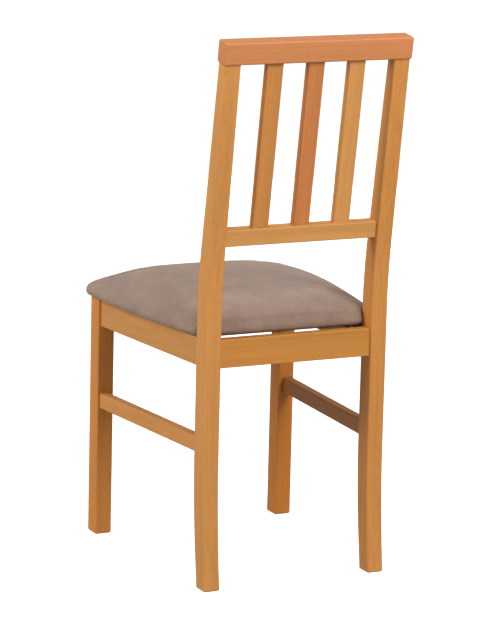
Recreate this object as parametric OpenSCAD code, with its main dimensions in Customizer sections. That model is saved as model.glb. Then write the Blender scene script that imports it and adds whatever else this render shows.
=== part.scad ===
// Dining chair: beech frame, slatted leaning back and an upholstered seat.
// Z is up, the chair faces -Y and the sitter's left side is +X.
// The origin is on the floor, under the middle of the chair's overall width and depth.

/* [Overall] */
// Height from the floor to the top of the crest rail
overall_h = 960; // [800:1:1160]
// Width across the outer faces of the front legs
front_w = 401; // [334:1:482]
// Width across the outer faces of the rear legs
rear_w = 352; // [300:1:424]
// Depth from the front of the front legs to the back of the rear legs, at the seat
frame_d = 429; // [357:1:516]
// Height of the seat rails' top edge, where the seat rests
rail_top = 439; // [365:1:528]

/* [Front legs] */
// Width of a front leg, side to side
front_leg_w = 32; // [26.5:0.5:42]
// Depth of a front leg, front to back
front_leg_d = 36; // [30:0.5:46]
// Chamfer around the bottom of every leg
foot_chamfer = 2.5; // [1:0.5:5]

/* [Rear legs] */
// Width of a rear leg, side to side
rear_leg_w = 31; // [25.5:0.5:40]
// Depth of a rear leg along its upright stretch
rear_leg_d = 37; // [30.5:0.5:46]
// Depth of a rear leg at the floor
rear_leg_foot_d = 32; // [26:1:40]
// Depth of a rear leg under the crest rail
rear_leg_top_d = 24; // [20:1:34]
// How far the foot's middle stands behind the upright stretch
foot_kick = 17.5; // [0:0.5:35]
// Height of the part of the leg that kicks back, below the stretcher
kick_gap = 15; // [5:1:60]
// How far the back leans for each millimetre of height
back_lean = 0.1485; // [0.1:0.0005:0.2]
// Height above the seat rails at which the back starts to lean
lean_rise = 31; // [15:1:60]
// Height over which the upright stretch bends into the leaning one
lean_bend = 130; // [60:1:150]

/* [Back] */
// Height of the crest rail, along the lean
crest_h = 39; // [34:1:60]
// Thickness of the crest rail
crest_t = 33; // [28:1:40]
// How far each end of the crest rail stands out beyond the rear leg
crest_proud = 1.5; // [0:0.5:6]
// Height of the lower back rail, along the lean
low_rail_h = 30; // [24:1:45]
// Thickness of the lower back rail
low_rail_t = 22; // [18:1:26]
// Height of the lower back rail's middle above the seat rails
low_rail_rise = 178; // [140:1:215]
// Width of a slat
slat_w = 31; // [20:1:38]
// Thickness of a slat
slat_t = 14; // [9:0.5:16]
// Distance from one slat's centre line to the next
slat_pitch = 78; // [60:1:90]

/* [Seat frame] */
// Height of the seat rails
rail_h = 50; // [40:1:65]
// Thickness of the seat rails
rail_t = 20; // [16:0.5:24]
// How far rails and stretchers stand back from the legs' outer faces
recess = 5; // [2:0.5:6]
// Height of a side stretcher
stretcher_h = 28; // [22:1:40]
// Thickness of a side stretcher
stretcher_t = 18; // [15:0.5:22]
// Height of the middle of the side stretchers above the floor
stretcher_z = 251; // [150:1:310]
// Length of a corner block along each rail
block_l = 55; // [45:1:75]
// Height of a corner block
block_h = 25; // [20:1:32]
// Drop from the rails' top edge to the top of a corner block
block_drop = 9; // [2.5:0.5:12]

/* [Joinery] */
// Length of the tenons that enter a leg from the side
cross_tenon_l = 15; // [10:0.5:18]
// Wood left between two tenons that meet inside a leg
tenon_web = 5; // [3:0.5:6]
// Thickness of the rail and stretcher tenons
tenon_t = 8; // [6:0.5:10]
// Shoulder above and below a rail or stretcher tenon
tenon_shoulder = 6; // [4:0.5:8]
// Length of the slat tenons
slat_tenon_l = 10; // [6:0.5:14]
// Glue gap around every tenon and dowel
glue_gap = 0.15; // [0.05:0.05:0.3]
// Diameter of the dowels that hold the crest rail
dowel_d = 8; // [6:1:10]
// Length of a dowel
dowel_l = 40; // [30:1:50]
// Distance between the two dowels in one leg
dowel_pitch = 15; // [13:1:17]

/* [Seat] */
// How far the seat stands out in front of the front legs
seat_over_front = 30; // [10:1:50]
// How far the seat's widest point stands out beside the front legs
seat_over_side = 11.5; // [5:0.5:25]
// How far the seat reaches back between the rear legs
seat_tongue = 11; // [5:1:20]
// Radius of the seat's front corners, seen from above
seat_front_r = 30; // [20:1:80]
// Radius of the seat's rear corners, seen from above
seat_rear_r = 25; // [15:1:40]
// Radius of the long curve of the seat's sides
seat_side_r = 2200; // [1200:50:6000]
// How far the front edge bows forward at the middle
seat_front_bow = 8; // [2:1:20]
// Height of the seat at its crown, above the rails
seat_h = 65; // [50:1:85]
// Height of the seat's widest line above the rails
seat_wide_z = 15; // [12:1:20]
// How far the seat's lower edge turns in below its widest line
seat_turn_in = 8; // [4:1:14]
// Distance from the edge over which the crown rises
crown_run = 150; // [100:5:160]
// How round the crown is, from the seat's edge to its middle: 1 is an even dome
crown_power = 0.85; // [0.7:0.05:1.4]
// How much rounder the seat's corners get as the crown rises: 0 keeps them as sharp as below
crown_corner = 0.9; // [0:0.1:1.2]
// Thickness of the plywood seat board
board_t = 10; // [9:1:15]
// Thickness of the seat fabric
cover_t = 1.2; // [0.8:0.1:2]
// Thickness of the lining under the seat
lining_t = 0.6; // [0.4:0.1:1]
// Gap between the seat and the rear legs
seat_gap = 1.5; // [1:0.5:4]

/* [Fasteners] */
// Diameter of the corner block screws
block_screw_d = 4; // [3.5:0.5:5]
// Length of the corner block screws
block_screw_l = 30; // [25:1:35]
// How far the corner block screws enter a rail
block_screw_bite = 14; // [10:0.5:15]
// Diameter of the seat screws
seat_screw_d = 4.5; // [4:0.5:6]
// How far the seat screws enter the seat board
seat_screw_bite = 6; // [4:0.5:8]
// Number of staples along each edge of the lining
staples_per_edge = 7; // [4:1:10]

/* [Hidden] */

// Small overlap that lets a cut run clean through a face
cut = 1;
// Colours: beech lacquered in a warm honey tone, taupe fabric, black lining, zinc-plated steel
beech = [0.80, 0.55, 0.31];
beech_red = [0.80, 0.50, 0.30];
beech_pale = [0.84, 0.62, 0.37];
plywood = [0.82, 0.70, 0.50];
taupe = [0.62, 0.53, 0.47];
foam_colour = [0.93, 0.90, 0.78];
lining_colour = [0.12, 0.12, 0.12];
zinc = [0.75, 0.76, 0.78];

// The back: every height along the lean is measured from the underside of the crest rail
lean_angle = atan(back_lean);
lean_z = rail_top + lean_rise;
crest_z = overall_h - crest_h * cos(lean_angle) - crest_t / 2 * sin(lean_angle);
kick_h = stretcher_z - stretcher_h / 2 - kick_gap;
// How the kick grows towards the floor: 1 is a straight slope, 2 a parabola
kick_power = 1.8;

// How much of the lean a leg has gathered at a height
function lean_gathered(z) =
    z <= lean_z ? 0
    : z < lean_z + lean_bend ? pow(z - lean_z, 2) / (2 * lean_bend)
    : z - lean_z - lean_bend / 2;
// How much of the kick is left at a height, from 1 at the floor to 0
function kick_left(z) = z >= kick_h ? 0 : pow(1 - z / kick_h, kick_power);

// Depths along Y, set so that the whole chair is centred on the origin
crest_reach = frame_d - rear_leg_d / 2 + back_lean * lean_gathered(crest_z)
    + crest_t / 2 * cos(lean_angle) + crest_h * sin(lean_angle);
front_y = seat_over_front - (seat_over_front + crest_reach) / 2;
front_leg_rear_y = front_y + front_leg_d;
rear_leg_mid_y = front_y + frame_d - rear_leg_d / 2;
rear_leg_front_y = rear_leg_mid_y - rear_leg_d / 2;

// Lengths of the side tenons, which stop short of the cross tenons
front_tenon_l = front_leg_d - recess - rail_t / 2 - tenon_t / 2 - tenon_web;
rear_tenon_l = rear_leg_d - recess - rail_t / 2 - tenon_t / 2 - tenon_web;

// Clear length of the slats, between the lower back rail and the crest rail
slat_l = (crest_z - rail_top - low_rail_rise) / cos(lean_angle) - low_rail_h / 2;

function rear_leg_mid(z) = rear_leg_mid_y + back_lean * lean_gathered(z) + foot_kick * kick_left(z);
function rear_leg_depth(z) =
    rear_leg_d
    - (rear_leg_d - rear_leg_top_d) * lean_gathered(z) / lean_gathered(crest_z)
    - (rear_leg_d - rear_leg_foot_d) * kick_left(z);

// Plan of the sides: the outer face of the side rails and stretchers at a depth
side_x_front = front_w / 2 - recess;
side_x_rear = rear_w / 2 - recess;
function side_x(y) =
    side_x_front
    + (side_x_rear - side_x_front) * (y - front_leg_rear_y) / (rear_leg_front_y - front_leg_rear_y);

// Inner faces that the cross rails and corner blocks meet
front_leg_inner_x = front_w / 2 - front_leg_w;
rear_leg_inner_x = rear_w / 2 - rear_leg_w;
front_rail_y = front_y + recess + rail_t / 2;
rear_rail_y = front_y + frame_d - recess - rail_t / 2;
rail_z = rail_top - rail_h / 2;

// The seat: its outline, its layers and how far the board stays inside the cover
board_z = rail_top + cover_t;
seat_rear_y = rear_leg_front_y + seat_tongue;
seat_front_y = front_y - seat_over_front;
seat_half_w = front_w / 2 + seat_over_side;
foam_gap = 0.2;
board_edge = cover_t + 1;
// Smallest radius of the seat's corners, and the largest as a share of the seat's half width
corner_least_r = 6;
corner_most_share = 0.9;
// How much of the front corners' growth the rear corners take as the crown rises
rear_corner_share = 0.5;

// Corner blocks and their screws
block_gap = 1;
block_top = rail_top - block_drop;
block_z = block_top - block_h / 2;
screw_gap = 0.1;
screw_head_d = 8;
screw_head_h = 2.6;
head_sink = 1;
seat_screw_l = block_h - head_sink + block_drop + cover_t + seat_screw_bite;
// Share of a block's long face, from either end, at which a screw enters
screw_share = 0.36;
// Distance of a seat screw from the notch around the leg, along X and along Y
seat_screw_inset = 11;

// Lining and staples
lining_gap = 2;
strip_lap = 12;
staple_w = 10;
staple_wire = 0.8;
staple_leg = 6;

// Raises children to where a cross rail runs
module at_depth(y, z) {
    translate([0, y, z]) children();
}

// Places children in the plane of the leaning back, from the crest rail's underside
module on_back() {
    translate([0, rear_leg_mid(crest_z), crest_z])
        rotate([-lean_angle, 0, 0])
            children();
}

// A bar from side to side, centred, with a tenon on each end
module cross_bar(length, thick, height) {
    cube([length, thick, height], center = true);
    cross_tenons(length, height, 0);
}

// Both tenons of a bar from side to side, grown by a gap for the mortises
module cross_tenons(length, height, gap) {
    cube([length + 2 * (cross_tenon_l + gap), tenon_t + 2 * gap, height - 2 * tenon_shoulder + 2 * gap],
        center = true);
}

// A bar from the front leg to the rear leg on the left side
module side_bar(thick, height, z) {
    translate([0, 0, z - height / 2])
        linear_extrude(height)
            polygon([
                [side_x_front, front_leg_rear_y],
                [side_x_rear, rear_leg_front_y],
                [side_x_rear - thick, rear_leg_front_y],
                [side_x_front - thick, front_leg_rear_y]
            ]);
    side_tenons(thick, height, z, 0);
}

// Both tenons of a side bar, which enter the legs straight from behind and from the front
module side_tenons(thick, height, z, gap) {
    tenon_h = height - 2 * tenon_shoulder + 2 * gap;
    front_reach = front_tenon_l + gap;
    rear_reach = rear_tenon_l + gap;
    translate([side_x_front - thick / 2, front_leg_rear_y - (front_reach - cut) / 2, z])
        cube([tenon_t + 2 * gap, front_reach + cut, tenon_h], center = true);
    translate([side_x_rear - thick / 2, rear_leg_front_y + (rear_reach - cut) / 2, z])
        cube([tenon_t + 2 * gap, rear_reach + cut, tenon_h], center = true);
}

// Outline of a square foot with chamfered corners, standing on the origin
module foot_outline(width, height) {
    polygon([
        [-width / 2 + foot_chamfer, 0],
        [width / 2 - foot_chamfer, 0],
        [width / 2, foot_chamfer],
        [width / 2, height],
        [-width / 2, height],
        [-width / 2, foot_chamfer]
    ]);
}

// Turns an outline drawn in X and Z into a bar of that outline, centred on Y
module stand_up(depth) {
    translate([0, depth / 2, 0])
        rotate([90, 0, 0])
            linear_extrude(depth)
                children();
}

module front_leg() {
    difference() {
        translate([front_w / 2 - front_leg_w / 2, front_y + front_leg_d / 2, 0])
            intersection() {
                stand_up(front_leg_d) foot_outline(front_leg_w, rail_top);
                rotate([0, 0, 90]) stand_up(front_leg_w) foot_outline(front_leg_d, rail_top);
            }
        side_tenons(rail_t, rail_h, rail_z, glue_gap);
        side_tenons(stretcher_t, stretcher_h, stretcher_z, glue_gap);
        at_depth(front_rail_y, rail_z) cross_tenons(2 * front_leg_inner_x, rail_h, glue_gap);
    }
}

// Side outline of a rear leg, drawn with depth across and height up
module rear_leg_outline() {
    bend_step = 10;
    top = crest_z + rear_leg_d;
    heights = concat([foot_chamfer], [for (z = [bend_step : bend_step : top]) z]);
    last = len(heights) - 1;
    polygon(concat(
        [[rear_leg_mid(0) - rear_leg_depth(0) / 2 + foot_chamfer, 0]],
        [[rear_leg_mid(0) + rear_leg_depth(0) / 2 - foot_chamfer, 0]],
        [for (z = heights) [rear_leg_mid(z) + rear_leg_depth(z) / 2, z]],
        [for (i = [0 : last]) let (z = heights[last - i]) [rear_leg_mid(z) - rear_leg_depth(z) / 2, z]]
    ));
}

module rear_leg() {
    leg_x = rear_w / 2 - rear_leg_w / 2;
    difference() {
        intersection() {
            translate([leg_x - rear_leg_w / 2, 0, 0])
                rotate([90, 0, 90])
                    linear_extrude(rear_leg_w)
                        rear_leg_outline();
            translate([leg_x, 0, 0])
                stand_up(4 * frame_d)
                    foot_outline(rear_leg_w, overall_h);
        }
        on_back() {
            translate([-rear_w, -frame_d / 2, 0]) cube([2 * rear_w, frame_d, overall_h]);
            lower_back_rail_place() cross_tenons(2 * rear_leg_inner_x, low_rail_h, glue_gap);
            leg_dowels(glue_gap);
        }
        side_tenons(rail_t, rail_h, rail_z, glue_gap);
        side_tenons(stretcher_t, stretcher_h, stretcher_z, glue_gap);
        at_depth(rear_rail_y, rail_z) cross_tenons(2 * rear_leg_inner_x, rail_h, glue_gap);
    }
}

module lower_back_rail_place() {
    translate([0, 0, -slat_l - low_rail_h / 2]) children();
}

// The two dowels between the left rear leg and the crest rail
module leg_dowels(gap) {
    for (side = [-1, 1])
        translate([rear_w / 2 - rear_leg_w / 2 + side * dowel_pitch / 2, 0, -dowel_l / 2 - gap])
            cylinder(h = dowel_l + 2 * gap, d = dowel_d + 2 * gap, $fn = 48);
}

// One slat with a tenon at each end, standing on the lower back rail
module slat(gap) {
    translate([-slat_w / 2, -slat_t / 2, -slat_l]) cube([slat_w, slat_t, slat_l]);
    slat_tenons(gap);
}

module slat_tenons(gap) {
    tenon_w = slat_w - tenon_shoulder + 2 * gap;
    tenon_d = slat_t - tenon_shoulder + 2 * gap;
    long = slat_l + 2 * (slat_tenon_l + gap);
    translate([-tenon_w / 2, -tenon_d / 2, -slat_l - slat_tenon_l - gap]) cube([tenon_w, tenon_d, long]);
}

module slats_in_row() {
    for (place = [-1 : 1])
        translate([place * slat_pitch, 0, 0]) children();
}

module rear_leg_left() { color(beech) rear_leg(); }
module rear_leg_right() { color(beech) mirror([1, 0, 0]) rear_leg(); }
module front_leg_left() { color(beech) front_leg(); }
module front_leg_right() { color(beech) mirror([1, 0, 0]) front_leg(); }

module crest_rail() {
    color(beech_red)
        on_back()
            difference() {
                translate([-rear_w / 2 - crest_proud, -crest_t / 2, 0])
                    cube([rear_w + 2 * crest_proud, crest_t, crest_h]);
                slats_in_row() slat_tenons(glue_gap);
                leg_dowels(glue_gap);
                mirror([1, 0, 0]) leg_dowels(glue_gap);
            }
}

module lower_back_rail() {
    color(beech_pale)
        on_back()
            difference() {
                lower_back_rail_place() cross_bar(2 * rear_leg_inner_x, low_rail_t, low_rail_h);
                slats_in_row() slat_tenons(glue_gap);
            }
}

module back_slat_left() { color(beech) on_back() translate([slat_pitch, 0, 0]) slat(0); }
module back_slat_middle() { color(beech_red) on_back() slat(0); }
module back_slat_right() { color(beech_pale) on_back() translate([-slat_pitch, 0, 0]) slat(0); }

// The pilot holes of the corner block screws are cut out of the rails
module rear_seat_rail() {
    color(beech)
        difference() {
            at_depth(rear_rail_y, rail_z) cross_bar(2 * rear_leg_inner_x, rail_t, rail_h);
            all_block_screws(screw_gap);
        }
}

module front_seat_rail() {
    color(beech)
        difference() {
            at_depth(front_rail_y, rail_z) cross_bar(2 * front_leg_inner_x, rail_t, rail_h);
            all_block_screws(screw_gap);
        }
}

module side_seat_rail_left() {
    color(beech)
        difference() {
            side_bar(rail_t, rail_h, rail_z);
            all_block_screws(screw_gap);
        }
}

module side_seat_rail_right() { color(beech) mirror([1, 0, 0]) side_seat_rail_left(); }
module side_stretcher_left() { color(beech) side_bar(stretcher_t, stretcher_h, stretcher_z); }
module side_stretcher_right() { color(beech) mirror([1, 0, 0]) side_stretcher_left(); }

// Inner face of a side rail at a depth
function side_inner_x(y) = side_x(y) - rail_t;

// Plan of a corner block: cross rail face, long face, side rail face and the notch around the leg.
// dir is 1 for a block behind the front rail and -1 for one in front of the rear rail.
function block_plan(leg_x, rail_face_y, leg_face_y, dir) = let (
    notch_x = leg_x - block_gap,
    notch_y = leg_face_y + dir * block_gap,
    far_y = notch_y + dir * block_l
) [
    [notch_x, rail_face_y],
    [notch_x - block_l, rail_face_y],
    [side_inner_x(far_y), far_y],
    [side_inner_x(notch_y), notch_y],
    [notch_x, notch_y]
];

front_block = block_plan(front_leg_inner_x, front_rail_y + rail_t / 2, front_leg_rear_y, 1);
rear_block = block_plan(rear_leg_inner_x, rear_rail_y - rail_t / 2, rear_leg_front_y, -1);

module corner_block(plan) {
    difference() {
        translate([0, 0, block_top - block_h])
            linear_extrude(block_h)
                polygon(plan);
        block_screws(plan, screw_gap);
        seat_screw(plan, screw_gap);
    }
}

module corner_block_front_left() { color(beech_pale) corner_block(front_block); }
module corner_block_front_right() { color(beech_pale) mirror([1, 0, 0]) corner_block(front_block); }
module corner_block_rear_left() { color(beech_pale) corner_block(rear_block); }
module corner_block_rear_right() { color(beech_pale) mirror([1, 0, 0]) corner_block(rear_block); }

// A countersunk screw that points along +Z, with the top of its head on the origin.
// A gap above 0 makes the hole for it, with a round pocket that lets the driver reach the head.
module screw(diameter, length, gap) {
    translate([0, 0, -gap]) cylinder(h = length + 2 * gap, d = diameter + 2 * gap, $fn = 32);
    cylinder(h = screw_head_h, d1 = screw_head_d + 2 * gap, d2 = diameter + 2 * gap, $fn = 32);
    if (gap > 0)
        translate([0, 0, -block_l]) cylinder(h = block_l, d = screw_head_d + 2 * gap, $fn = 32);
}

// The two screws of one block: one into the cross rail and one into the side rail
module block_screws(plan, gap) {
    cross_x = plan[1][0] + (plan[2][0] - plan[1][0]) * screw_share;
    side_y = plan[2][1] + (plan[1][1] - plan[2][1]) * screw_share;
    toward = sign(plan[1][1] - plan[2][1]);
    translate([cross_x, plan[1][1] - toward * (block_screw_l - block_screw_bite), block_z])
        rotate([-toward * 90, 0, 0])
            screw(block_screw_d, block_screw_l, gap);
    translate([side_inner_x(side_y) - (block_screw_l - block_screw_bite), side_y, block_z])
        rotate([0, 90, 0])
            screw(block_screw_d, block_screw_l, gap);
}

// The screw that rises through one block into the seat board
module seat_screw(plan, gap) {
    inward = sign(plan[2][1] - plan[1][1]) * seat_screw_inset;
    translate([plan[4][0] - seat_screw_inset, plan[4][1] + inward, block_top - block_h + head_sink])
        screw(seat_screw_d, seat_screw_l, gap);
}

module both_sides() {
    children();
    mirror([1, 0, 0]) children();
}

module all_block_screws(gap) {
    both_sides() {
        block_screws(front_block, gap);
        block_screws(rear_block, gap);
    }
}

module all_seat_screws(gap) {
    both_sides() {
        seat_screw(front_block, gap);
        seat_screw(rear_block, gap);
    }
}

module crest_dowels() {
    color(beech_pale)
        on_back()
            both_sides()
                leg_dowels(0);
}

module corner_block_screws() { color(zinc) all_block_screws(0); }
module seat_screws() { color(zinc) all_seat_screws(0); }

// Half width of the seat at a depth, along the long curve of its side
side_curve_y = seat_front_y + seat_front_r + seat_front_bow;
function seat_side_x(y, inset) =
    seat_half_w - inset - seat_side_r + sqrt(pow(seat_side_r, 2) - pow(max(y - side_curve_y, 0), 2));

// Right-hand half of the seat's outline, from the middle of the front edge to the middle of the back.
// growth is what the front corners' radius gains over that of a plain inset outline.
function seat_half_outline(inset, growth) = let (
    most_r = corner_most_share * (seat_half_w - inset),
    front_r = min(max(seat_front_r - inset, corner_least_r) + growth, most_r),
    rear_r = min(max(seat_rear_r - inset, corner_least_r) + growth * rear_corner_share, most_r),
    corner_x = seat_half_w - inset - front_r,
    corner_y = seat_front_y + inset + seat_front_bow + front_r,
    back_y = seat_rear_y - inset,
    rear_x = seat_side_x(back_y - rear_r, inset)
) concat(
    [for (s = [0 : 0.25 : 0.75]) [s * corner_x, seat_front_y + inset + seat_front_bow * pow(s, 2)]],
    [for (a = [-90 : 15 : 0]) [corner_x + front_r * cos(a), corner_y + front_r * sin(a)]],
    [for (s = [0.2 : 0.2 : 0.8])
        let (y = corner_y + s * (back_y - rear_r - corner_y))
        [seat_side_x(y, inset), y]],
    [for (a = [0 : 30 : 90]) [rear_x - rear_r + rear_r * cos(a), back_y - rear_r + rear_r * sin(a)]]
);

module seat_outline(inset, growth = 0) {
    half = seat_half_outline(inset, growth);
    last = len(half) - 1;
    polygon(concat(half, [for (i = [0 : last - 1]) [-half[last - i][0], half[last - i][1]]]));
}

// Outline of the crown where it has come in by a run, with rounder corners
module crown_outline(wall, run) {
    seat_outline(wall + run, crown_corner * run);
}

// Crowned solid of the seat pad, pulled in by a wall on every side
module seat_form(wall) {
    film = 0.01;
    low_h = seat_wide_z - wall;
    high_h = seat_h - wall - seat_wide_z;
    difference() {
        translate([0, 0, rail_top + seat_wide_z])
            hull() {
                for (a = [-90 : 30 : 0])
                    translate([0, 0, low_h * sin(a)])
                        linear_extrude(film)
                            seat_outline(wall + seat_turn_in * (1 - cos(a)));
                for (a = [15 : 15 : 90])
                    translate([0, 0, high_h * sin(a) - film])
                        linear_extrude(film)
                            crown_outline(wall, crown_run * pow(1 - cos(a), crown_power));
            }
        translate([0, 0, rail_top - cut]) linear_extrude(seat_h + 2 * cut) notch_plan(wall);
    }
}

// Plan of the corners cut out of the seat for the rear legs, grown by a wall
module notch_plan(wall) {
    notch_x = rear_leg_inner_x - seat_gap - wall;
    notch_y = rear_leg_front_y - seat_gap - wall;
    for (side = [-1, 1])
        translate([side > 0 ? notch_x : -notch_x - rear_w, notch_y]) square(rear_w);
}

// Plan of the seat board, grown by a gap
module board_plan(gap) {
    difference() {
        seat_outline(seat_turn_in + board_edge - gap);
        notch_plan(board_edge - gap);
    }
}

module seat_board() {
    color(plywood)
        difference() {
            translate([0, 0, board_z]) linear_extrude(board_t) board_plan(0);
            all_seat_screws(screw_gap);
            staple_legs(screw_gap);
        }
}

// The foam covers the board and wraps its edges
module seat_foam() {
    color(foam_colour)
        difference() {
            seat_form(cover_t + foam_gap);
            translate([0, 0, rail_top]) linear_extrude(cover_t + board_t + foam_gap) board_plan(foam_gap);
        }
}

// The lining lies between the rails, inside the legs; inset moves its edge in
module lining_outline(inset) {
    y0 = front_leg_rear_y + lining_gap + inset;
    y1 = rear_leg_front_y - lining_gap - inset;
    x0 = side_inner_x(y0) - lining_gap - inset;
    x1 = side_inner_x(y1) - lining_gap - inset;
    polygon([[-x0, y0], [x0, y0], [x1, y1], [-x1, y1]]);
}

// The fabric is pulled over the foam and folded under the board, where staples hold it
module seat_cover() {
    color(taupe)
        difference() {
            seat_form(0);
            seat_form(cover_t);
            translate([0, 0, rail_top - cut]) linear_extrude(cover_t + 2 * cut) lining_outline(strip_lap);
            all_seat_screws(screw_gap);
            staple_legs(screw_gap);
        }
}

module seat_lining() {
    color(lining_colour)
        difference() {
            translate([0, 0, rail_top - lining_t]) linear_extrude(lining_t) lining_outline(0);
            all_seat_screws(screw_gap);
            staple_legs(screw_gap);
        }
}

// Puts children at every staple, turned so that X runs along the edge of the lining
module at_staples() {
    inset = strip_lap / 2;
    y0 = front_leg_rear_y + lining_gap + inset;
    y1 = rear_leg_front_y - lining_gap - inset;
    x0 = side_inner_x(y0) - lining_gap - inset;
    x1 = side_inner_x(y1) - lining_gap - inset;
    for (i = [0 : staples_per_edge - 1]) {
        share = (i + 0.5) / staples_per_edge;
        translate([x0 * (2 * share - 1), y0, 0]) children();
        translate([x1 * (2 * share - 1), y1, 0]) children();
        for (side = [-1, 1])
            translate([side * (x0 + share * (x1 - x0)), y0 + share * (y1 - y0), 0])
                rotate([0, 0, 90])
                    children();
    }
}

module staple_legs(gap) {
    leg_h = lining_t + cover_t + staple_leg;
    wire = staple_wire + 2 * gap;
    at_staples()
        for (side = [-1, 1])
            translate([side * (staple_w - staple_wire) / 2, 0, rail_top - lining_t + leg_h / 2])
                cube([wire, wire, leg_h + 2 * gap], center = true);
}

module lining_staples() {
    color(zinc) {
        staple_legs(0);
        at_staples()
            translate([0, 0, rail_top - lining_t - staple_wire / 2])
                cube([staple_w, staple_wire, staple_wire], center = true);
    }
}

rear_leg_left();
rear_leg_right();
front_leg_left();
front_leg_right();
crest_rail();
lower_back_rail();
back_slat_left();
back_slat_middle();
back_slat_right();
rear_seat_rail();
front_seat_rail();
side_seat_rail_left();
side_seat_rail_right();
side_stretcher_left();
side_stretcher_right();
corner_block_front_left();
corner_block_front_right();
corner_block_rear_left();
corner_block_rear_right();
seat_board();
seat_foam();
seat_cover();
seat_lining();
crest_dowels();
corner_block_screws();
seat_screws();
lining_staples();
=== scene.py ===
import math

import bmesh
import bpy
from mathutils import Matrix, Quaternion, Vector, noise
from mathutils.bvhtree import BVHTree


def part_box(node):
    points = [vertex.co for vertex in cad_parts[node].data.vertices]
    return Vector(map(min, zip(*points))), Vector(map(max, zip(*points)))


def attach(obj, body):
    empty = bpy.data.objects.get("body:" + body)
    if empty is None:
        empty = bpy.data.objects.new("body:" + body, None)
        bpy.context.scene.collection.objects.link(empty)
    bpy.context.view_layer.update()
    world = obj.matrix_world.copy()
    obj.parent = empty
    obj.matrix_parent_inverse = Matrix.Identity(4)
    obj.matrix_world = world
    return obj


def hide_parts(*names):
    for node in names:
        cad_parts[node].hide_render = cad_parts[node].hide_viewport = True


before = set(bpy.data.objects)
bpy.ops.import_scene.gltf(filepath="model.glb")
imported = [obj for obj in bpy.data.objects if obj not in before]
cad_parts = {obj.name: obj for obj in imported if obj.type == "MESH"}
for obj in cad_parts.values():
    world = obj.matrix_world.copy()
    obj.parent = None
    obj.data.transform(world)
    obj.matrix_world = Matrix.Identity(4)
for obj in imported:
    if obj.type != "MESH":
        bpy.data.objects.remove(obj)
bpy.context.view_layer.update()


# ---- Camera ----
# A long lens stands behind the chair, to its left, a little above the back.
# Its place is measured from the front face of the front legs.
legs_front_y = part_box("front_leg_left")[0].y
camera_spot = Vector((2.4838, legs_front_y + 5.1753, 1.5837))
looked_at = Vector((0.0090, legs_front_y + 0.2630, 0.4462))
camera_roll = math.radians(1.417)
lens = bpy.data.cameras.new("camera")
lens.sensor_fit = "HORIZONTAL"
lens.sensor_width = 36.0
lens.lens = 228.885
camera = bpy.data.objects.new("camera", lens)
bpy.context.scene.collection.objects.link(camera)
camera.location = camera_spot
camera.rotation_mode = "QUATERNION"
aim = (looked_at - camera_spot).to_track_quat("-Z", "Y")
camera.rotation_quaternion = aim @ Quaternion((0, 0, 1), camera_roll)
bpy.context.scene.camera = camera


# ---- Studio ----
# Pale floor and backdrop in a dim warm room. Broad soft lamps stand high behind the
# chair and on its left, with a weak one in front and weak light from above. The floor
# throws no light back up, so the wood under the seat stays deep.
bpy.context.scene.view_settings.view_transform = "Standard"
room_light, backdrop = 0.37, 1.0
room_tint = (1.0, 0.93, 0.82, 1)
lamp_size = 2.0
floor_span, floor_glow = 80, 0.80
room = bpy.data.worlds.new("room")
bpy.context.scene.world = room
room.use_nodes = True
dim = room.node_tree.nodes["Background"]
dim.inputs["Color"].default_value = room_tint
dim.inputs["Strength"].default_value = room_light
white = room.node_tree.nodes.new("ShaderNodeBackground")
white.inputs["Strength"].default_value = backdrop
seen = room.node_tree.nodes.new("ShaderNodeLightPath")
either = room.node_tree.nodes.new("ShaderNodeMixShader")
room.node_tree.links.new(seen.outputs["Is Camera Ray"], either.inputs["Fac"])
room.node_tree.links.new(dim.outputs["Background"], either.inputs[1])
room.node_tree.links.new(white.outputs["Background"], either.inputs[2])
room.node_tree.links.new(either.outputs["Shader"], room.node_tree.nodes["World Output"].inputs["Surface"])


def soft_light(name, kind, comes_from, strength):
    """A light that points at the middle of the chair."""
    bpy.ops.object.light_add(type=kind, location=comes_from)
    light = bpy.context.object
    light.name = name
    light.data.energy = strength
    light.rotation_euler = (Vector(comes_from) - Vector((0, 0, 0.5))).to_track_quat("Z", "Y").to_euler()
    return light.data


soft_light("light_above", "SUN", (0.3, 0.2, 4.0), 0.12).angle = math.radians(100)
soft_light("lamp_behind", "AREA", (-0.8, 3.4, 2.6), 114).size = lamp_size
soft_light("lamp_left", "AREA", (3.4, -0.3, 2.4), 98).size = lamp_size
soft_light("lamp_front", "AREA", (-2.2, -3.4, 1.0), 18).size = lamp_size
bpy.context.object.visible_glossy = False

bpy.ops.mesh.primitive_plane_add(size=floor_span, location=(0, 0, 0))
floor = bpy.context.object
floor.name = "studio_floor"
floor.visible_diffuse = False
floor.visible_glossy = False
floor_paint = bpy.data.materials.new("studio_floor")
floor_paint.use_nodes = True
floor_shader = floor_paint.node_tree.nodes["Principled BSDF"]
floor_shader.inputs["Base Color"].default_value = (0.80, 0.80, 0.80, 1)
floor_shader.inputs["Roughness"].default_value = 0.9
floor_shader.inputs["Specular IOR Level"].default_value = 0.0
floor_shader.inputs["Emission Color"].default_value = (1.0, 1.0, 1.0, 1)
floor_shader.inputs["Emission Strength"].default_value = floor_glow
floor.data.materials.append(floor_paint)


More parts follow.
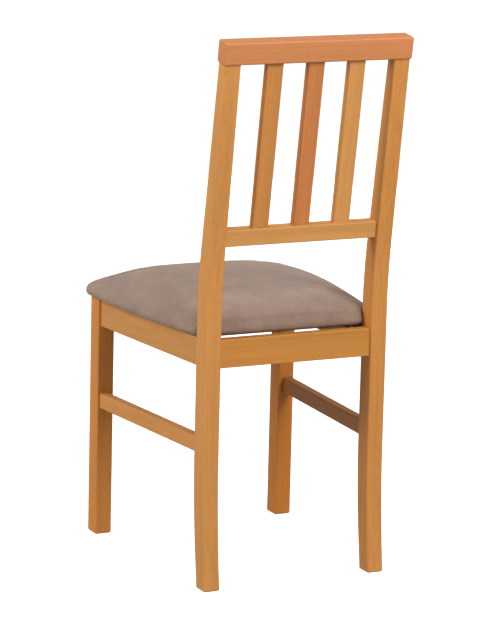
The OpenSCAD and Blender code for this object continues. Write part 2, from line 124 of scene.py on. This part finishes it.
# ---- Rear legs ----
# Each rear leg and back post is one piece of solid beech, sawn to a curve: the foot
# kicks back, the middle is upright and the post leans back and thins to its top.
# The long edges are rounded, the foot is chamfered, and the wood has satin lacquer.
edge_round, foot_chamfer = 0.003, 0.0025
rail_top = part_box("rear_seat_rail")[1].z
back_lean = 0.1485
lean_angle = math.atan(back_lean)
lean_start, lean_bend = rail_top + 0.031, 0.130
kick, kick_top, kick_power = 0.0175, 0.222, 1.8
depth_seat, depth_foot, depth_top = 0.037, 0.032, 0.024
crest_h, crest_t = 0.039, 0.033
post_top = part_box("crest_rail")[1].z - crest_h * math.cos(lean_angle) - crest_t / 2 * math.sin(lean_angle)
frame_depth = 0.429
post_mid_y = legs_front_y + frame_depth - depth_seat / 2


def lean_gathered(z):
    """How much of the lean a post has gathered at a height."""
    if z <= lean_start:
        return 0.0
    if z < lean_start + lean_bend:
        return (z - lean_start) ** 2 / (2 * lean_bend)
    return z - lean_start - lean_bend / 2


def kick_left(z):
    """How much of the foot's kick is left at a height."""
    return (1 - z / kick_top) ** kick_power if z < kick_top else 0.0


def post_y(z):
    """Depth of a post's middle at a height."""
    return post_mid_y + back_lean * lean_gathered(z) + kick * kick_left(z)


def post_depth(z):
    """How deep a post is, front to back, at a height."""
    thinned = (depth_seat - depth_top) * lean_gathered(z) / lean_gathered(post_top)
    return depth_seat - thinned - (depth_seat - depth_foot) * kick_left(z)


def start_bar(size, centre, turn=0.0):
    """Adds a bar at its place, turned about X, and opens it in edit mode."""
    bpy.ops.object.select_all(action="DESELECT")
    bpy.ops.mesh.primitive_cube_add(size=1, location=centre, rotation=(turn, 0, 0), scale=size)
    piece = bpy.context.object
    bpy.ops.object.transform_apply(location=True, rotation=True, scale=True)
    bpy.ops.object.mode_set(mode="EDIT")
    return piece


def pick(piece, kind, test):
    """Selects the faces or edges of the open piece that pass a test."""
    bpy.ops.mesh.select_mode(type="FACE" if kind == "faces" else "EDGE")
    mesh = bmesh.from_edit_mesh(piece.data)
    mesh.normal_update()
    for part in (*mesh.faces, *mesh.edges, *mesh.verts):
        part.select = False
    for part in [p for p in getattr(mesh, kind) if test(p)]:
        part.select_set(True)
    bmesh.update_edit_mesh(piece.data)


sharp_corner = 0.7


def along(edge, axis, least=0.94):
    """True for an edge that runs along an axis and is a sharp corner between two faces."""
    way = (edge.verts[1].co - edge.verts[0].co).normalized()
    return abs(way.dot(axis)) > least and len(edge.link_faces) == 2 and edge.calc_face_angle() > sharp_corner


def on_floor(edge):
    """True for an edge that lies on the floor."""
    return all(corner.co.z < 1e-5 for corner in edge.verts)


def round_edges(piece, test, width, segments=3):
    """Rounds the edges that pass a test, or chamfers them if segments is 1."""
    pick(piece, "edges", test)
    bpy.ops.mesh.bevel(offset=width, segments=segments, profile=0.5, affect="EDGES")


def only(piece):
    """Makes a piece the only selected and the active one."""
    bpy.ops.object.select_all(action="DESELECT")
    piece.select_set(True)
    bpy.context.view_layer.objects.active = piece


def copied(piece, shift=0.0):
    """A copy with its own mesh: moved sideways, or mirrored across the chair if shift is 0."""
    bpy.ops.object.mode_set(mode="OBJECT")
    only(piece)
    bpy.ops.object.duplicate()
    copy = bpy.context.object
    bpy.ops.object.mode_set(mode="EDIT")
    bpy.ops.mesh.select_all(action="SELECT")
    if shift:
        bpy.ops.transform.translate(value=(shift, 0, 0))
    else:
        bpy.ops.transform.resize(value=(-1, 1, 1), center_override=(0, 0, 0))
    bpy.ops.object.mode_set(mode="OBJECT")
    return copy


def finish_bar(piece, node, material):
    """Closes a wooden piece: smooth rounded edges, outward faces, its wood, body and CAD node."""
    bpy.ops.object.mode_set(mode="OBJECT")
    only(piece)
    bpy.ops.object.mode_set(mode="EDIT")
    bpy.ops.mesh.select_all(action="SELECT")
    bpy.ops.mesh.normals_make_consistent(inside=False)
    bpy.ops.object.mode_set(mode="OBJECT")
    bpy.ops.object.shade_smooth_by_angle(angle=math.radians(40))
    evened = piece.modifiers.new("evened", "WEIGHTED_NORMAL")
    evened.keep_sharp = True
    bpy.ops.object.modifier_apply(modifier=evened.name)
    piece.name = node + "_wood"
    piece.data.name = piece.name
    piece.data.materials.append(material)
    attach(piece, "root")
    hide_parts(node)


def nodes_of(name):
    """A new material with its shader, and short calls that add and join its nodes."""
    material = bpy.data.materials.new(name)
    material.use_nodes = True
    tree = material.node_tree
    shader = tree.nodes["Principled BSDF"]

    def add(kind, **values):
        node = tree.nodes.new(kind)
        for key, value in values.items():
            if key in node.inputs:
                node.inputs[key].default_value = value
            else:
                setattr(node, key, value)
        return node

    def join(source, target):
        tree.links.new(source, target)

    return material, shader, add, join


def ramp(add, join, source, stops):
    """A colour ramp over a value, from (place, colour) stops."""
    node = add("ShaderNodeValToRGB")
    band = node.color_ramp
    while len(band.elements) > 1:
        band.elements.remove(band.elements[-1])
    band.elements[0].position = stops[0][0]
    band.elements[0].color = (*stops[0][1], 1)
    for place, colour in stops[1:]:
        band.elements.new(place).color = (*colour, 1)
    join(source, node.inputs["Fac"])
    return node.outputs["Color"]


def mixed(add, join, blend, amount, first, second):
    """A colour mix; amount may be a number or another node's output."""
    node = add("ShaderNodeMix", data_type="RGBA", blend_type=blend)
    if isinstance(amount, float):
        node.inputs[0].default_value = amount
    else:
        join(amount, node.inputs[0])
    for socket, colour in ((6, first), (7, second)):
        if isinstance(colour, tuple):
            node.inputs[socket].default_value = (*colour, 1)
        else:
            join(colour, node.inputs[socket])
    return node.outputs[2]


def scaled(colour, share):
    return tuple(channel * share for channel in colour)


def beech(name, tone, grain, seed, lean=0.0):
    """Lacquered beech: straight grain along X, Y or Z, fine darker flecks, ringed end grain."""
    material, shader, add, join = nodes_of(name)
    place = add("ShaderNodeTexCoord")
    turned = add("ShaderNodeMapping", vector_type="POINT")
    turned.inputs["Location"].default_value = (seed * 1.31, seed * 0.77, seed * 2.13)
    swing = {"X": (0, math.pi / 2, 0), "Y": (math.pi / 2, 0, 0), "Z": (lean, 0, 0)}[grain]
    turned.inputs["Rotation"].default_value = swing
    join(place.outputs["Object"], turned.inputs["Vector"])

    def stretched(across, lengthwise):
        squeezed = add("ShaderNodeVectorMath", operation="MULTIPLY")
        squeezed.inputs[1].default_value = (across, across, lengthwise)
        join(turned.outputs["Vector"], squeezed.inputs[0])
        return squeezed.outputs["Vector"]

    boards = add("ShaderNodeTexNoise", Scale=1.0, Detail=3.0, Roughness=0.5)
    join(stretched(26, 1.6), boards.inputs["Vector"])
    streaks = add("ShaderNodeTexNoise", Scale=1.0, Detail=6.0, Roughness=0.62, Distortion=0.25)
    join(stretched(170, 4.5), streaks.inputs["Vector"])
    flecks = add("ShaderNodeTexNoise", Scale=1.0, Detail=2.0, Roughness=0.5)
    join(stretched(1150, 120), flecks.inputs["Vector"])
    full = (1.0, 1.0, 1.0)
    board_tones = [(0.30, scaled(tone, 0.92)), (0.50, tone), (0.72, scaled(tone, 1.06))]
    streak_tones = [(0.30, (0.90, 0.86, 0.81)), (0.55, full), (0.80, (1.03, 1.03, 1.02))]
    fleck_tones = [(0.28, (0.74, 0.66, 0.58)), (0.42, full)]
    shade = ramp(add, join, boards.outputs["Fac"], board_tones)
    fine = ramp(add, join, streaks.outputs["Fac"], streak_tones)
    dashes = ramp(add, join, flecks.outputs["Fac"], fleck_tones)
    colour = mixed(add, join, "MULTIPLY", 1.0, shade, fine)
    colour = mixed(add, join, "MULTIPLY", 0.55, colour, dashes)

    rings = add("ShaderNodeTexWave", wave_type="RINGS", rings_direction="Z", Scale=70.0, Distortion=3.0)
    join(turned.outputs["Vector"], rings.inputs["Vector"])
    ends = ramp(add, join, rings.outputs["Fac"], [(0.2, scaled(tone, 0.84)), (0.8, scaled(tone, 0.96))])
    axis = {"X": (1, 0, 0), "Y": (0, 1, 0), "Z": (0, math.sin(lean), math.cos(lean))}[grain]
    facing = add("ShaderNodeVectorMath", operation="DOT_PRODUCT")
    facing.inputs[1].default_value = axis
    join(place.outputs["Normal"], facing.inputs[0])
    away = add("ShaderNodeMath", operation="ABSOLUTE")
    join(facing.outputs["Value"], away.inputs[0])
    cut_face = add("ShaderNodeMapRange")
    cut_face.inputs["From Min"].default_value = 0.55
    cut_face.inputs["From Max"].default_value = 0.85
    join(away.outputs["Value"], cut_face.inputs["Value"])
    colour = mixed(add, join, "MIX", cut_face.outputs["Result"], colour, ends)
    join(colour, shader.inputs["Base Color"])

    polish = add("ShaderNodeMapRange")
    polish.inputs["To Min"].default_value = 0.36
    polish.inputs["To Max"].default_value = 0.50
    join(streaks.outputs["Fac"], polish.inputs["Value"])
    join(polish.outputs["Result"], shader.inputs["Roughness"])
    relief = add("ShaderNodeBump", Strength=0.25, Distance=0.00012)
    join(streaks.outputs["Fac"], relief.inputs["Height"])
    pores = add("ShaderNodeBump", Strength=0.3, Distance=0.00005)
    join(flecks.outputs["Fac"], pores.inputs["Height"])
    join(relief.outputs["Normal"], pores.inputs["Normal"])
    join(pores.outputs["Normal"], shader.inputs["Normal"])
    shader.inputs["Coat Weight"].default_value = 0.12
    shader.inputs["Coat Roughness"].default_value = 0.28
    shader.inputs["IOR"].default_value = 1.45
    shader.inputs["Specular IOR Level"].default_value = 0.35
    return material


def rear_leg(node):
    """One rear leg, drawn up from a short block at the foot, left open."""
    low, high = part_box(node)
    middle_x = (low.x + high.x) / 2
    first = 0.02
    in_the_kick = [0.045, 0.075, 0.11, 0.15, 0.19, 0.225]
    upright = [0.33, rail_top, lean_start]
    in_the_bend = [lean_start + lean_bend * step / 10 for step in range(1, 11)]
    leaning = [0.68, 0.76, 0.84, post_top + 0.02]
    leg = start_bar((high.x - low.x, post_depth(first), first), (middle_x, post_y(first), first / 2))
    pick(leg, "faces", lambda face: face.normal.z < -0.9)
    bpy.ops.transform.translate(value=(0, post_y(0) - post_y(first), 0))
    pick(leg, "faces", lambda face: face.normal.z > 0.9)
    height = first
    for reached in in_the_kick + upright + in_the_bend + leaning:
        rise = (0, post_y(reached) - post_y(height), reached - height)
        bpy.ops.mesh.extrude_region_move(TRANSFORM_OT_translate={"value": rise})
        slimmer = post_depth(reached) / post_depth(height)
        bpy.ops.transform.resize(value=(1, slimmer, 1), center_override=(middle_x, post_y(reached), reached))
        height = reached
    bpy.ops.mesh.select_all(action="SELECT")
    up_the_post = (0, math.sin(lean_angle), math.cos(lean_angle))
    bpy.ops.mesh.bisect(
        plane_co=(0, post_y(post_top), post_top), plane_no=up_the_post, use_fill=True, clear_outer=True
    )
    upward = Vector((0, 0.05, 1)).normalized()
    round_edges(leg, lambda edge: along(edge, upward, 0.9), edge_round)
    round_edges(leg, on_floor, foot_chamfer, 1)
    return leg


leg = rear_leg("rear_leg_left")
other_leg = copied(leg)
# The right leg stands on the far side and is given a slightly darker tone than the left: painted shade.
finish_bar(leg, "rear_leg_left", beech("beech_rear_leg_left", (0.662, 0.297, 0.080), "Z", 1))
finish_bar(other_leg, "rear_leg_right", beech("beech_rear_leg_right_painted_shade", (0.650, 0.280, 0.070), "Z", 2))


# ---- Front legs ----
# Plain square beech legs that end under the seat. Their corners are rounded and
# their feet are chamfered like the rear ones. The rails are tenoned into them.
low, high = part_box("front_leg_left")
leg = start_bar(high - low, (low + high) / 2)
round_edges(leg, lambda edge: along(edge, Vector((0, 0, 1))), edge_round)
round_edges(leg, on_floor, foot_chamfer, 1)
other_leg = copied(leg)
# Both front legs are given a deeper, more saturated tone than the rear legs for the shade under the seat,
# and the far right leg a darker one still: painted shade.
finish_bar(leg, "front_leg_left", beech("beech_front_leg_left_shaded", (0.660, 0.256, 0.052), "Z", 3))
finish_bar(other_leg, "front_leg_right", beech("beech_front_leg_right_shaded", (0.610, 0.216, 0.034), "Z", 4))


# ---- Front and rear seat rails ----
# Two flat beech rails from leg to leg, tenoned into the legs, a little behind
# their outer faces. Their long edges are slightly rounded.
rail_round = 0.002
cross_rails = (("rear_seat_rail", "rear_leg_left"), ("front_seat_rail", "front_leg_left"))
# Their tone is deeper and more saturated than the rear legs' for the shade under the seat: painted shade.
for seed, (node, leg_node) in enumerate(cross_rails, 5):
    low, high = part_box(node)
    half_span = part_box(leg_node)[0].x
    size = (2 * half_span, high.y - low.y, high.z - low.z)
    rail = start_bar(size, (0, (low.y + high.y) / 2, (low.z + high.z) / 2))
    round_edges(rail, lambda edge: along(edge, Vector((1, 0, 0))), rail_round)
    finish_bar(rail, node, beech("beech_" + node, (0.600, 0.255, 0.052), "X", seed))


# ---- Side rails and side stretchers ----
# On each side a seat rail and a low stretcher run from front leg to rear leg. They
# follow the chair's taper, so in plan both ends are cut at a slight angle.
# Each row holds a bar's kind, its thickness and the tones of its left and right copies. The right copies
# stand on the far side in the chair's shade and get darker tones, the stretcher much darker: painted shade.
# The seat rails are also darker than the stretchers for the shade under the seat pad: painted shade.
side_bars = (
    ("side_seat_rail", 0.020, (0.590, 0.277, 0.080), (0.580, 0.250, 0.060)),
    ("side_stretcher", 0.018, (0.655, 0.292, 0.078), (0.420, 0.162, 0.032)),
)
recess = 0.005
front_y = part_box("front_leg_left")[1].y
rear_y = legs_front_y + frame_depth - depth_seat
side_x_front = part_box("front_leg_left")[1].x - recess
side_x_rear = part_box("rear_leg_left")[1].x - recess
for seed, (kind, thick, left_tone, right_shaded_tone) in enumerate(side_bars, 7):
    low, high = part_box(kind + "_left")
    middle = ((side_x_front + side_x_rear) / 2 - thick / 2, (front_y + rear_y) / 2, (low.z + high.z) / 2)
    bar = start_bar((thick, rear_y - front_y, high.z - low.z), middle)
    half_taper = (side_x_front - side_x_rear) / 2
    pick(bar, "faces", lambda face: face.normal.y < -0.9)
    bpy.ops.transform.translate(value=(half_taper, 0, 0))
    pick(bar, "faces", lambda face: face.normal.y > 0.9)
    bpy.ops.transform.translate(value=(-half_taper, 0, 0))
    round_edges(bar, lambda edge: along(edge, Vector((0, 1, 0))), rail_round)
    other_bar = copied(bar)
    finish_bar(bar, kind + "_left", beech(f"beech_{kind}_left", left_tone, "Y", seed))
    finish_bar(other_bar, kind + "_right", beech(f"beech_{kind}_right", right_shaded_tone, "Y", seed + 2))


# ---- Crest rail and lower back rail ----
# The crest is a thick beech bar doweled on top of the posts, its ends just proud of
# them. The lower rail is tenoned between the posts. Both follow the back's lean.
up_back = Vector((0, math.sin(lean_angle), math.cos(lean_angle)))
back_foot = Vector((0, post_y(post_top), post_top))
half_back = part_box("rear_leg_left")[1].x
post_inner_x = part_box("rear_leg_left")[0].x
crest_proud, crest_round = 0.0015, 0.0035
low_rail_h, low_rail_t, low_rail_rise = 0.030, 0.022, 0.178
low_rail_round = 0.0025
slat_l = (post_top - rail_top - low_rail_rise) / math.cos(lean_angle) - low_rail_h / 2

crest_size = (2 * (half_back + crest_proud), crest_t, crest_h)
crest = start_bar(crest_size, back_foot + up_back * crest_h / 2, -lean_angle)
round_edges(crest, lambda edge: edge.calc_face_angle() > sharp_corner, crest_round, 4)
finish_bar(crest, "crest_rail", beech("beech_crest_rail", (0.662, 0.260, 0.096), "X", 11))

low_rail_spot = back_foot - up_back * (slat_l + low_rail_h / 2)
low_rail = start_bar((2 * post_inner_x, low_rail_t, low_rail_h), low_rail_spot, -lean_angle)
round_edges(low_rail, lambda edge: along(edge, Vector((1, 0, 0))), low_rail_round)
finish_bar(low_rail, "lower_back_rail", beech("beech_lower_back_rail", (0.700, 0.340, 0.102), "X", 12))


# ---- Back slats ----
# Three flat beech slats stand between the two back rails, tenoned at both ends. Each
# comes from another board, so one is redder and one is paler.
slat_w, slat_t, slat_pitch = 0.031, 0.014, 0.078
slat_round = 0.0025
slats = (
    ("back_slat_middle", 0.0, (0.622, 0.230, 0.071)),
    ("back_slat_left", slat_pitch, (0.630, 0.264, 0.067)),
    ("back_slat_right", -slat_pitch, (0.695, 0.328, 0.099)),
)
slat = start_bar((slat_w, slat_t, slat_l), back_foot - up_back * slat_l / 2, -lean_angle)
round_edges(slat, lambda edge: along(edge, up_back), slat_round)
slat_pieces = [slat] + [copied(slat, slat_x) for _, slat_x, _ in slats[1:]]
for seed, (piece, (node, _, tone)) in enumerate(zip(slat_pieces, slats), 13):
    finish_bar(piece, node, beech("beech_" + node, tone, "Z", seed, lean_angle))


# ---- Seat pad ----
# A plywood board with foam glued on it, pulled over with a soft taupe fabric with a
# short nap. The fabric is drawn round the lower edge and stapled below, so the edge
# turns under and the top swells into an even crown.
bpy.ops.object.select_all(action="DESELECT")
for node in ("seat_foam", "seat_board"):
    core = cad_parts[node].copy()
    core.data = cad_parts[node].data.copy()
    core.animation_data_clear()
    for key in list(core.keys()):
        del core[key]
    core.parent = None
    core.matrix_world = Matrix.Identity(4)
    bpy.context.scene.collection.objects.link(core)
    core.select_set(True)
    bpy.context.view_layer.objects.active = core
bpy.ops.object.join()
pad = bpy.context.object
pad.name = "seat_pad"
pad.data.name = "seat_pad"
pad.data.materials.clear()
bpy.ops.object.mode_set(mode="EDIT")
bpy.ops.mesh.select_all(action="SELECT")
bpy.ops.mesh.remove_doubles(threshold=0.00001)
bpy.ops.object.mode_set(mode="OBJECT")
voxel = 0.0045
pad.data.remesh_voxel_size = voxel
bpy.ops.object.voxel_remesh()


def soften(rounds):
    """Evens out the pad's surface."""
    softened = pad.modifiers.new("softened", "SMOOTH")
    softened.factor = 0.5
    softened.iterations = rounds
    bpy.ops.object.modifier_apply(modifier=softened.name)


soften(4)
seat_low_corner, seat_high_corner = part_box("seat_cover")
seat_low, seat_top = seat_low_corner.z, seat_high_corner.z
seat_half_w = seat_high_corner.x
widest_z = seat_low + 0.015
swell_room = 0.0046
side_bow_r, side_bow_start, front_bow = 2.2, 0.068, 0.008
front_bow_x = 0.18
side_swell, side_fall, end_swell, end_fall = 4.2, 0.80, 1.9, 0.30


def crown(x, y):
    """Share of its full height that the crown has at a place: 1 in the middle, 0 at the edges."""
    behind = max(y - seat_low_corner.y - side_bow_start, 0)
    across = min(abs(x) / (seat_half_w - behind ** 2 / (2 * side_bow_r)), 1)
    front = seat_low_corner.y + front_bow * (x / front_bow_x) ** 2
    lengthwise = min(abs(2 * (y - front) / (seat_high_corner.y - front) - 1), 1)
    return (1 - across ** side_swell) ** side_fall * (1 - lengthwise ** end_swell) ** end_fall


# The core is warped to that crown. Its own height at a place is read by a straight look down.
full_rise = seat_top - swell_room - widest_z
core_mesh = bmesh.new()
core_mesh.from_mesh(pad.data)
core_tree = BVHTree.FromBMesh(core_mesh)
core_mesh.free()
new_heights = {}
for vertex in pad.data.vertices:
    spot = vertex.co
    if spot.z > widest_z:
        above = core_tree.ray_cast(Vector((spot.x * 0.999, spot.y, 1)), Vector((0, 0, -1)))[0]
        core_rise = max((above.z if above else spot.z) - widest_z, spot.z - widest_z, 1e-4)
        stretch = full_rise * crown(spot.x, spot.y) / core_rise
        new_heights[vertex.index] = widest_z + stretch * (spot.z - widest_z)
for index, height in new_heights.items():
    pad.data.vertices[index].co.z = height
soften(12)

# Pressure swells the pad like stuffing, with its lower edge held and each point's way capped.
swell_cap = 0.003
held_h, freed_h = 0.006, 0.016
start_shape = [vertex.co.copy() for vertex in pad.data.vertices]
held_low = pad.vertex_groups.new(name="held_low")
for vertex in pad.data.vertices:
    height = vertex.co.z - seat_low
    hold = max(0.0, min(1.0, (freed_h - height) / (freed_h - held_h)))
    held_low.add([vertex.index], hold, "REPLACE")
stuffed = pad.modifiers.new("stuffed", "CLOTH")
cloth = stuffed.settings
cloth.quality = 6
cloth.mass = 0.3
cloth.tension_stiffness = 25
cloth.compression_stiffness = 25
cloth.shear_stiffness = 8
cloth.bending_stiffness = 1.5
cloth.use_pressure = True
cloth.uniform_pressure_force = 4
cloth.vertex_group_mass = "held_low"
cloth.effector_weights.gravity = 0
for step in range(1, 21):
    bpy.context.scene.frame_set(step)
bpy.ops.object.modifier_apply(modifier=stuffed.name)
pad.vertex_groups.clear()
for vertex, start in zip(pad.data.vertices, start_shape):
    moved = vertex.co - start
    if moved.length > swell_cap:
        vertex.co = start + moved.normalized() * swell_cap
bpy.context.scene.frame_set(1)

finer = pad.modifiers.new("finer", "SUBSURF")
finer.levels = 1
finer.render_levels = 1
bpy.ops.object.modifier_apply(modifier=finer.name)

# The fabric brings the pad to its full size, and its pull on the staples leaves small
# gathers along the lower edge.
inset = Vector((0.0003, 0.0003, 0))
full_low, full_high = seat_low_corner + inset, seat_high_corner - inset
pad_low = Vector(tuple(min(vertex.co[axis] for vertex in pad.data.vertices) for axis in range(3)))
pad_high = Vector(tuple(max(vertex.co[axis] for vertex in pad.data.vertices) for axis in range(3)))
gather_depth, gather_spacing, gather_height = 0.0006, 0.011, 0.028
for vertex in pad.data.vertices:
    for axis in (0, 1):
        share = (vertex.co[axis] - pad_low[axis]) / (pad_high[axis] - pad_low[axis])
        vertex.co[axis] = full_low[axis] + share * (full_high[axis] - full_low[axis])
pad.data.update()
outward = [vertex.normal.copy() for vertex in pad.data.vertices]
for vertex, way in zip(pad.data.vertices, outward):
    pulled = max(0.0, min(1.0, 1 - (vertex.co.z - seat_low) / gather_height))
    wave = noise.noise(Vector((vertex.co.x, vertex.co.y, 0)) / gather_spacing)
    vertex.co += way * gather_depth * pulled * (wave - 0.5)

# Behind, the lower edge turns in evenly up to the legs, and the pad stays clear of them.
leg_gap, turned_in = 0.0012, 0.0105
leg_in_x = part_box("rear_leg_left")[0].x - leg_gap
leg_in_y = rear_y - leg_gap
for vertex in pad.data.vertices:
    spot = vertex.co
    lowness = max(0.0, min(1.0, (widest_z - spot.z) / (widest_z - seat_low)))
    spot.y = min(spot.y, full_high.y - turned_in * (1 - math.sqrt(1 - lowness ** 2)))
    if abs(spot.x) > leg_in_x and spot.y > leg_in_y:
        if abs(spot.x) - leg_in_x < spot.y - leg_in_y:
            spot.x = math.copysign(leg_in_x, spot.x)
        else:
            spot.y = leg_in_y
    spot.z = max(spot.z, seat_low)
bpy.ops.object.shade_smooth()


def seat_fabric():
    """Taupe upholstery: a fine cross weave under a short soft nap that lies in patches."""
    material, shader, add, join = nodes_of("taupe_fabric")
    place = add("ShaderNodeTexCoord")
    nap = add("ShaderNodeTexNoise", Scale=22.0, Detail=4.0, Roughness=0.6)
    join(place.outputs["Object"], nap.inputs["Vector"])
    brushed = add("ShaderNodeTexNoise", Scale=140.0, Detail=5.0, Roughness=0.7)
    join(place.outputs["Object"], brushed.inputs["Vector"])
    fibre = add("ShaderNodeTexNoise", Scale=1500.0, Detail=2.0, Roughness=0.6)
    join(place.outputs["Object"], fibre.inputs["Vector"])
    taupe = (0.320, 0.228, 0.184)
    nap_tones = [(0.32, scaled(taupe, 0.88)), (0.50, taupe), (0.70, scaled(taupe, 1.10))]
    brushed_tones = [(0.30, (0.90, 0.89, 0.88)), (0.55, (1.0, 1.0, 1.0)), (0.80, (1.07, 1.07, 1.07))]
    fibre_tones = [(0.35, (0.84, 0.83, 0.82)), (0.60, (1.05, 1.05, 1.05))]
    colour = ramp(add, join, nap.outputs["Fac"], nap_tones)
    soft = ramp(add, join, brushed.outputs["Fac"], brushed_tones)
    hairs = ramp(add, join, fibre.outputs["Fac"], fibre_tones)
    colour = mixed(add, join, "MULTIPLY", 1.0, colour, soft)
    colour = mixed(add, join, "MULTIPLY", 0.6, colour, hairs)
    join(colour, shader.inputs["Base Color"])
    threads = None
    for direction in ("X", "Y"):
        wave = add("ShaderNodeTexWave", bands_direction=direction, Scale=520.0, Distortion=1.2, Detail=1.0)
        join(place.outputs["Object"], wave.inputs["Vector"])
        bump = add("ShaderNodeBump", Strength=0.25, Distance=0.00015)
        join(wave.outputs["Fac"], bump.inputs["Height"])
        if threads is not None:
            join(threads, bump.inputs["Normal"])
        threads = bump.outputs["Normal"]
    fuzz = add("ShaderNodeBump", Strength=0.5, Distance=0.0003)
    join(fibre.outputs["Fac"], fuzz.inputs["Height"])
    join(threads, fuzz.inputs["Normal"])
    rumple = add("ShaderNodeBump", Strength=0.35, Distance=0.0012)
    join(nap.outputs["Fac"], rumple.inputs["Height"])
    join(fuzz.outputs["Normal"], rumple.inputs["Normal"])
    join(rumple.outputs["Normal"], shader.inputs["Normal"])
    shader.inputs["Roughness"].default_value = 0.95
    shader.inputs["Sheen Weight"].default_value = 0.35
    shader.inputs["Sheen Roughness"].default_value = 0.45
    shader.inputs["Sheen Tint"].default_value = (0.85, 0.76, 0.70, 1)
    shader.inputs["Specular IOR Level"].default_value = 0.2
    return material


pad.data.materials.append(seat_fabric())
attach(pad, "root")
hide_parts("seat_foam", "seat_cover")


# ---- Seat board, lining and staples ----
# The plywood board is sealed inside the pad. Below it a black felt lining hides the
# turned-in fabric, and wire staples hold lining and fabric to the board.
def plain_surface(name, dark, light, scale, roughness, metal=0.0, stretch=(1, 1, 1), depth=0.0001):
    """A surface with fine mottling between two colours and a matching relief."""
    material, shader, add, join = nodes_of(name)
    place = add("ShaderNodeTexCoord")
    squeezed = add("ShaderNodeVectorMath", operation="MULTIPLY")
    squeezed.inputs[1].default_value = stretch
    join(place.outputs["Object"], squeezed.inputs[0])
    noise = add("ShaderNodeTexNoise", Scale=scale, Detail=5.0, Roughness=0.65)
    join(squeezed.outputs["Vector"], noise.inputs["Vector"])
    join(ramp(add, join, noise.outputs["Fac"], [(0.3, dark), (0.7, light)]), shader.inputs["Base Color"])
    bump = add("ShaderNodeBump", Strength=0.4, Distance=depth)
    join(noise.outputs["Fac"], bump.inputs["Height"])
    join(bump.outputs["Normal"], shader.inputs["Normal"])
    shader.inputs["Roughness"].default_value = roughness
    shader.inputs["Metallic"].default_value = metal
    return material


def refinish(node, material):
    """Gives a CAD node that stays as it is its own material."""
    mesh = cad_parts[node].data
    mesh.materials.clear()
    mesh.materials.append(material)


plywood = plain_surface("plywood", (0.42, 0.27, 0.14), (0.62, 0.44, 0.26), 40, 0.7, stretch=(1, 6, 30))
felt = plain_surface("black_felt", (0.008, 0.008, 0.009), (0.03, 0.03, 0.032), 900, 0.95, depth=0.0004)
refinish("seat_board", plywood)
refinish("seat_lining", felt)


# ---- Corner blocks, dowels and screws ----
# Bare beech blocks are screwed across the corners under the seat, and a long screw
# through each one holds the seat down. Dowels hold the crest rail to the posts.
zinc = plain_surface("zinc_steel", (0.45, 0.46, 0.48), (0.62, 0.63, 0.65), 300, 0.35, metal=1.0)
for node in ("corner_block_screws", "seat_screws", "lining_staples"):
    refinish(node, zinc)
bare_dark, bare_light = (0.50, 0.31, 0.16), (0.62, 0.42, 0.24)
for corner in ("front_left", "front_right", "rear_left", "rear_right"):
    block_wood = plain_surface("bare_beech_" + corner, bare_dark, bare_light, 60, 0.7, stretch=(1, 8, 30))
    refinish("corner_block_" + corner, block_wood)
refinish("crest_dowels", plain_surface("dowel_beech", bare_dark, bare_light, 60, 0.7, stretch=(20, 20, 1)))
